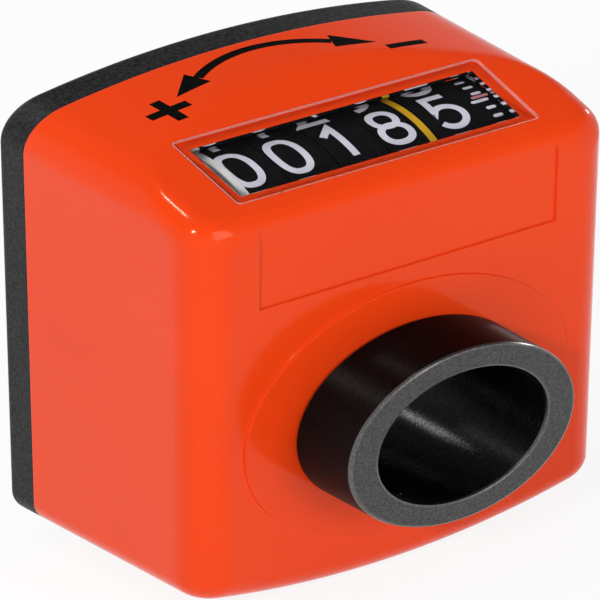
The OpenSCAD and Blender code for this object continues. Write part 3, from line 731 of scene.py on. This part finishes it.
def figure_lines(figure):
    """Strokes of a figure about its middle, each with whether it closes on itself.

    a and b are half the width and half the height of the line through the strokes."""
    a, b = (DIGIT_WIDTH - DIGIT_LINE) / 2, (DIGIT_HEIGHT - DIGIT_LINE) / 2
    if figure == 0:
        return [(arc(0, 0, a, b, 0, 360, steps=56, power=2.5)[:-1], True)]
    if figure == 1:
        return [(line((-0.75 * a, 0.42 * b), (0.2 * a, 0.96 * b), (0.2 * a, -b)), False)]
    if figure == 2:
        bow = arc(0, 0.48 * b, 0.95 * a, 0.52 * b, 175, -28)
        return [(bow + line((0.62 * a, 0.04 * b), (-a, -b), (a, -b))[1:], False)]
    if figure == 3:
        upper = arc(0, 0.52 * b, 0.88 * a, 0.48 * b, 155, -90)
        return [(upper + arc(0, -0.48 * b, a, 0.52 * b, 90, -155)[1:], False)]
    if figure == 4:
        return [(line((0.2 * a, b), (-a, -0.42 * b), (a, -0.42 * b)), False),
                (line((0.45 * a, 0.25 * b), (0.45 * a, -b)), False)]
    if figure == 5:
        bowl = arc(-0.05 * a, -0.36 * b, 1.05 * a, 0.64 * b, 128, -150)
        return [(line((0.85 * a, b), (-0.7 * a, b), (-0.82 * a, 0.02 * b), bowl[0]) + bowl[1:], False)]
    if figure == 7:
        return [(line((-a, b), (0.95 * a, b), (-0.35 * a, -b)), False)]
    if figure == 8:
        return [(arc(0, 0.5 * b, 0.84 * a, 0.5 * b, 0, 360, steps=44, power=2.2)[:-1], True),
                (arc(0, -0.46 * b, a, 0.54 * b, 0, 360, steps=44, power=2.2)[:-1], True)]
    # A nine is a six upside down
    way = 1 if figure == 6 else -1
    six = [(arc(0, -0.42 * b, a, 0.58 * b, 0, 360, steps=44, power=2.2)[:-1], True),
           (arc(0.75 * a, -0.42 * b, 1.75 * a, 1.42 * b, 172, 92), False)]
    return [([(way * x, way * y) for x, y in points], closed) for points, closed in six]


def on_wheel(x, degrees, radius):
    """A point at an angle from the top of the wheels towards the front."""
    a = math.radians(degrees)
    return (x, WHEEL_DEPTH - DEPTH - radius * math.sin(a), WHEEL_HEIGHT + radius * math.cos(a))


def wheel_print(middle, degrees):
    """Where a mark about an angle of the wheel lies: x along the axle and y up the wheel."""
    return lambda x, y, up: on_wheel(middle + x, degrees - math.degrees(y / PRINT_R), PRINT_R + up)


def wheel_arc(name, start, end, low, high, first=0.0, last=360.0, step=1.5):
    """A sleeve, or a part of one, round the wheels. high is a radius, or gives one at an angle."""
    whole = last - first >= 360.0
    count = int(round((last - first) / step))
    turns = [first + (last - first) * i / count for i in range(count if whole else count + 1)]
    verts, faces = [], []
    for degrees in turns:
        top = high(degrees) if callable(high) else high
        verts += [on_wheel(x, degrees, r) for x, r in ((start, low), (start, top), (end, top), (end, low))]
    for j in range(len(turns) if whole else len(turns) - 1):
        a, b = 4 * j, 4 * ((j + 1) % len(turns))
        faces += [(a + i, a + (i + 1) % 4, b + (i + 1) % 4, b + i) for i in range(4)]
    if not whole:
        for a in (0, 4 * (len(turns) - 1)):
            faces.append((a, a + 1, a + 2, a + 3))
    return new_object(name, verts, faces)


def build_numbers():
    for place, wheel in enumerate(PLACES):
        start = UNITS_LEFT - place * WHEEL_PITCH + CARRY_WIDTH
        end = UNITS_RIGHT if place == 0 else start + WHEEL_PITCH - 2 * CARRY_WIDTH - END_PLAY
        band = wheel_arc(wheel + "_band", start, end, WHEEL_R - BAND_WALL, BAND_R)
        smooth(band)
        finish(band, wheel, WHEEL)
        middle = UNITS_FIGURE if place == 0 else (start + end) / 2 + FIGURE_SHIFT[place]
        marks = Marks()
        for figure in range(10):
            where = wheel_print(middle, ROW_TURN - FIGURE_STEP * (figure - READING[place]))
            for i, (points, closed) in enumerate(figure_lines(figure)):
                marks.stroke(where, points, DIGIT_LINE, closed, STACKED * i)
        finish(marks.build(wheel + "_digits"), wheel, PRINT_WHITE)
    scale = Marks()
    for i in range(SCALE_MARKS):
        where = wheel_print(0.0, ROW_TURN - 360.0 / SCALE_MARKS * i)
        scale.pill(where, SCALE_SHORT if i % SCALE_LONG_EVERY else SCALE_LONG, SCALE_END, 0.0, SCALE_LINE)
    finish(scale.build("units_scale"), "units", PRINT_WHITE)
    end_line = wheel_arc("units_end_line", UNITS_RIGHT - END_LINE, UNITS_RIGHT,
                         WHEEL_R - BAND_WALL / 2, PRINT_R)
    finish(end_line, "units", PRINT_WHITE)
    left = ROW_LEFT + CARRY_WIDTH
    edge = wheel_arc("ten_thousands_edge", left - WHITE_EDGE_OUT, left + WHITE_EDGE_WIDTH,
                     WHEEL_R - WHITE_EDGE_BITE, PRINT_R + WHITE_EDGE_RISE)
    finish(edge, "ten_thousands", WHITE)


# Comb behind the window, with angles as on the wheels
COMB_BACK, COMB_ROOT, COMB_FRONT = -54.0, -45.5, 48.0
COMB_LOW_R, COMB_ROOT_R, COMB_TOP_R = 8.85, 11.3, WHEEL_R - 0.03
COMB_GAP = 0.12
COMB_MARK_LEFT, COMB_MARK_RIGHT = 0.5, 0.25
COMB_MARK_BACK, COMB_MARK_FRONT = -44.0, 47.0
STRIP_LOW_R, STRIP_TOP_R, STRIP_WIDTH, STRIP_GAP = 10.2, 10.3, 1.9, 0.16


def comb_arc(name, start, end, low, top):
    """A finger that is thick at its root on the tie bar and runs forward round the wheels' axis."""
    finger = wheel_arc(name, start, end, low, lambda degrees: COMB_ROOT_R if degrees < COMB_ROOT else top,
                       COMB_BACK, COMB_FRONT)
    smooth(finger)
    return finger


def build_comb():
    """Fingers that close the gaps between the wheels, the yellow mark on one, and the red strip."""
    for place in range(len(PLACES) - 1):
        end = UNITS_LEFT - place * WHEEL_PITCH + CARRY_WIDTH
        start = end - 2 * CARRY_WIDTH - END_PLAY
        finger = comb_arc("comb_%d" % (place + 1), start + COMB_GAP, end - COMB_GAP, COMB_LOW_R, COMB_TOP_R)
        finish(finger, "base", WHEEL)
        if place == 0:
            mark = wheel_arc("comb_mark", start + COMB_MARK_LEFT, end - COMB_MARK_RIGHT,
                             WHEEL_R - BAND_WALL, BAND_R, COMB_MARK_BACK, COMB_MARK_FRONT)
            smooth(mark)
            finish(mark, "base", PRINT_YELLOW)
    left = UNITS_RIGHT + STRIP_GAP
    strip = comb_arc("comb_end", left, left + STRIP_WIDTH, STRIP_LOW_R, STRIP_TOP_R)
    finish(strip, "base", PRINT_RED)


# Print on the top of the housing, with x across and y from the front, and the index mark under the lens
TOP_LIFT = 0.02
ARROW_R, ARROW_HALF, ARROW_LINE = 13.1, 7.4, 0.95
ARROW_MIDDLE, ARROW_DEPTH = -0.6, 10.45
HEAD_TIP, HEAD_INNER, HEAD_OUTER = (11.1, 19.4), (6.95, 20.0), (7.95, 22.6)
# The strip of a head ends just short of its tip
HEAD_STEPS, HEAD_END = 14, 0.999
PLUS_X, PLUS_Y, PLUS_HALF, PLUS_LINE = -13.75, 17.8, 2.15, 1.1
MINUS_LEFT, MINUS_RIGHT, MINUS_Y, MINUS_LINE = 10.75, 15.0, 17.95, 0.95
SIGN_STEP = 0.3
INDEX_LEFT, INDEX_RIGHT, INDEX_UP = 13.8, 15.75, 0.8
INDEX_LINE, INDEX_THICK = 0.34, 0.04


def on_top(x, depth, up):
    """A point over the arched top."""
    arch = TOP_RISE - TOP_RADIUS + math.sqrt(TOP_RADIUS ** 2 - x * x)
    return (x, depth - DEPTH, lower_of(arch, slope_z(depth)) + TOP_LIFT + up)


def under_lens(x, y, down):
    """A point under the lens's lower face."""
    return slope_point(x, WINDOW_MID + y, -WALL - INDEX_THICK - down)


def build_print():
    arrow = Marks()
    reach = math.degrees(math.asin(ARROW_HALF / ARROW_R))
    bow = arc(ARROW_MIDDLE, ARROW_DEPTH, ARROW_R, ARROW_R, 90 + reach, 90 - reach, steps=60)
    arrow.stroke(on_top, bow, ARROW_LINE)
    for side in (-1, 1):
        corners = [Vector((ARROW_MIDDLE + side * x, y)) for x, y in (HEAD_TIP, HEAD_INNER, HEAD_OUTER)]
        tip, inner, outer = corners
        shares = [HEAD_END * i / HEAD_STEPS for i in range(HEAD_STEPS + 1)]
        arrow.strip(on_top, [(inner.lerp(tip, k), outer.lerp(tip, k)) for k in shares], lift=STACKED)
    finish(arrow.build("turn_arrow"), "base", PRINT_BLACK)
    signs = Marks()
    level = line((PLUS_X - PLUS_HALF, PLUS_Y), (PLUS_X + PLUS_HALF, PLUS_Y), step=SIGN_STEP)
    upright = line((PLUS_X, PLUS_Y - PLUS_HALF), (PLUS_X, PLUS_Y + PLUS_HALF), step=SIGN_STEP)
    minus = line((MINUS_LEFT, MINUS_Y), (MINUS_RIGHT, MINUS_Y), step=SIGN_STEP)
    signs.stroke(on_top, level, PLUS_LINE)
    signs.stroke(on_top, upright, PLUS_LINE, lift=STACKED)
    signs.stroke(on_top, minus, MINUS_LINE)
    finish(signs.build("turn_signs"), "base", PRINT_BLACK)
    index = Marks(INDEX_THICK)
    index.pill(under_lens, INDEX_LEFT, INDEX_RIGHT, INDEX_UP, INDEX_LINE)
    finish(index.build("index_mark"), "base", PRINT_PINK)


# Solids that show as they are
KEPT = {"grub_screw": STEEL, "retaining_ring": BRIGHT, "drive_gear": GEAR, "counter_frame": WHITE,
        "number_axle": BRIGHT, "pinion_axle": BRIGHT, "cross_shaft": BRIGHT, "helical_pinion": GEAR,
        "transfer_gear": GEAR}


def finish_solids():
    """Finishes the solids. Those not named above are carry pinions, number wheels, or replaced."""
    for name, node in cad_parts.items():
        node.data.materials.clear()
        node.data.materials.append(KEPT.get(name, GEAR if name.startswith("carry") else WHEEL))


# Studio: white below and around the part, and darker above it where only reflections see it
SHOWN = ("Camera", "Glossy", "Transmission")
PURE_WHITE = (1.0, 1.0, 1.0, 1.0)
WORLD_LIGHT = 0.33
CEILING_START, CEILING_END, CEILING_TONE = 0.2, 0.5, 0.2
FLOOR_HALF, FLOOR_GAP, FLOOR_GLOW = 1500.0, 0.02, 0.88
# Name, place and size in mm, and power in watts. The last lamp shines through the bore.
LAMPS = (("key", (-480, -330, 420), 85, 2.2),
         ("fill", (60, -700, 240), 320, 1.38),
         ("side", (600, 115, 90), 60, 0.5),
         ("edge", (-190, 66, 668), 45, 0.6),
         ("back", (-215, 645, 401), 85, 1.5))
LAMP_AIM = (0.0, -DEPTH / 2, 8.0)


def build_world(scene):
    world = bpy.data.worlds.new("studio")
    scene.world = world
    world.use_nodes = True
    n = Nodes(world.node_tree)
    light = n.tree.nodes["Background"]
    n.put(PURE_WHITE, light.inputs["Color"])
    n.put(WORLD_LIGHT, light.inputs["Strength"])
    direction = n.node("ShaderNodeTexCoord").outputs["Generated"]
    height = n.node("ShaderNodeSeparateXYZ", {"Vector": direction}).outputs["Z"]
    tones = {"Value": height, "From Min": CEILING_START, "From Max": CEILING_END,
             "To Min": 1.0, "To Max": CEILING_TONE}
    ceiling = n.node("ShaderNodeMapRange", tones).outputs["Result"]
    strength = n.larger(n.rays("Camera"), ceiling)
    backdrop = n.node("ShaderNodeBackground", {"Color": PURE_WHITE, "Strength": strength})
    n.show_mix(n.rays(*SHOWN), light.outputs[0], backdrop.outputs[0])


def build_floor():
    half, z = FLOOR_HALF, -LOW_DROP - FLOOR_GAP
    corners = [(-half, -half, z), (half, -half, z), (half, half, z), (-half, half, z)]
    floor = new_object("floor", corners, [(0, 1, 2, 3)])
    f = Finish("floor")
    f.set(Base_Color=f.ramp(f.noise(6.0), (0.92, 0.92, 0.92), (0.94, 0.94, 0.94)), Roughness=0.9)
    glow = f.node("ShaderNodeEmission", {"Color": PURE_WHITE, "Strength": 1.0})
    share = f.node("ShaderNodeMath", {0: f.rays(*SHOWN), 1: FLOOR_GLOW}, operation="MULTIPLY")
    f.show_mix(share.outputs[0], f.bsdf.outputs[0], glow.outputs[0])
    floor.data.materials.append(f.mat)


def build_lamp(scene, name, where, size, power):
    """A square soft light aimed at the middle of the part."""
    data = bpy.data.lights.new(name, "AREA")
    data.shape, data.size, data.energy = "SQUARE", size * MM, power
    obj = bpy.data.objects.new(name, data)
    scene.collection.objects.link(obj)
    obj.location = Vector(where) * MM
    obj.rotation_mode = "QUATERNION"
    obj.rotation_quaternion = (Vector(LAMP_AIM) * MM - obj.location).to_track_quat("-Z", "Y")


# Camera, fitted to the photograph: angles in degrees, place in mm, focal length and shift in pixels
VIEW_TURN, VIEW_RISE, VIEW_ROLL = -37.13324, 34.24660, 0.22116
PLANE_TURN, PLANE_TIP, PLANE_SHEAR = 47.22207, -20.41839, 0.11407
CAMERA_PLACE = (-521.007, -701.778, 596.15)
FOCAL, SHIFT_RIGHT, SHIFT_UP = 7714.205, 7.6146, 5.038
PICTURE, SENSOR = 600.0, 36.0


def turned_by(first, second, degrees):
    """A direction turned from the first towards the second, which are at a right angle."""
    a = math.radians(degrees)
    return first * math.cos(a) + second * math.sin(a)


def build_camera(scene):
    """The photograph is squeezed upright to about 0.72 of its true height.

    The camera repeats that with a picture plane set askew to its own line of sight, held in the
    parent offset, so that the part stays true to size."""
    level = turned_by(Vector((1.0, 0.0, 0.0)), Vector((0.0, 1.0, 0.0)), VIEW_TURN)
    ahead = turned_by(Vector((0.0, -1.0, 0.0)), Vector((1.0, 0.0, 0.0)), VIEW_TURN)
    sight = turned_by(ahead, Vector((0.0, 0.0, 1.0)), VIEW_RISE)
    steep = sight.cross(level)
    right = turned_by(level, steep, VIEW_ROLL)
    up = turned_by(steep, -level, VIEW_ROLL)
    across = turned_by(turned_by(right, up, PLANE_SHEAR), sight, PLANE_TURN)
    upward = turned_by(up, sight, PLANE_TIP)
    back = sight + (across * SHIFT_RIGHT + upward * SHIFT_UP) / FOCAL
    place = Matrix((across, upward, back.normalized())).transposed().to_4x4()
    place.translation = Vector(CAMERA_PLACE) * MM
    camera = bpy.data.objects.new("camera", bpy.data.cameras.new("camera"))
    scene.collection.objects.link(camera)
    scene.camera = camera
    camera.data.sensor_width = SENSOR
    camera.data.lens = FOCAL * back.length * SENSOR / PICTURE
    holder = bpy.data.objects.new("camera_holder", None)
    scene.collection.objects.link(holder)
    camera.parent = holder
    camera.matrix_parent_inverse = place


def build_stage():
    scene = bpy.context.scene
    scene.view_settings.view_transform = "Standard"
    build_world(scene)
    build_floor()
    for lamp in LAMPS:
        build_lamp(scene, *lamp)
    build_camera(scene)


build_housing()
build_cover()
build_pin()
build_window()
build_shaft()
build_numbers()
build_comb()
build_print()
finish_solids()
build_stage()
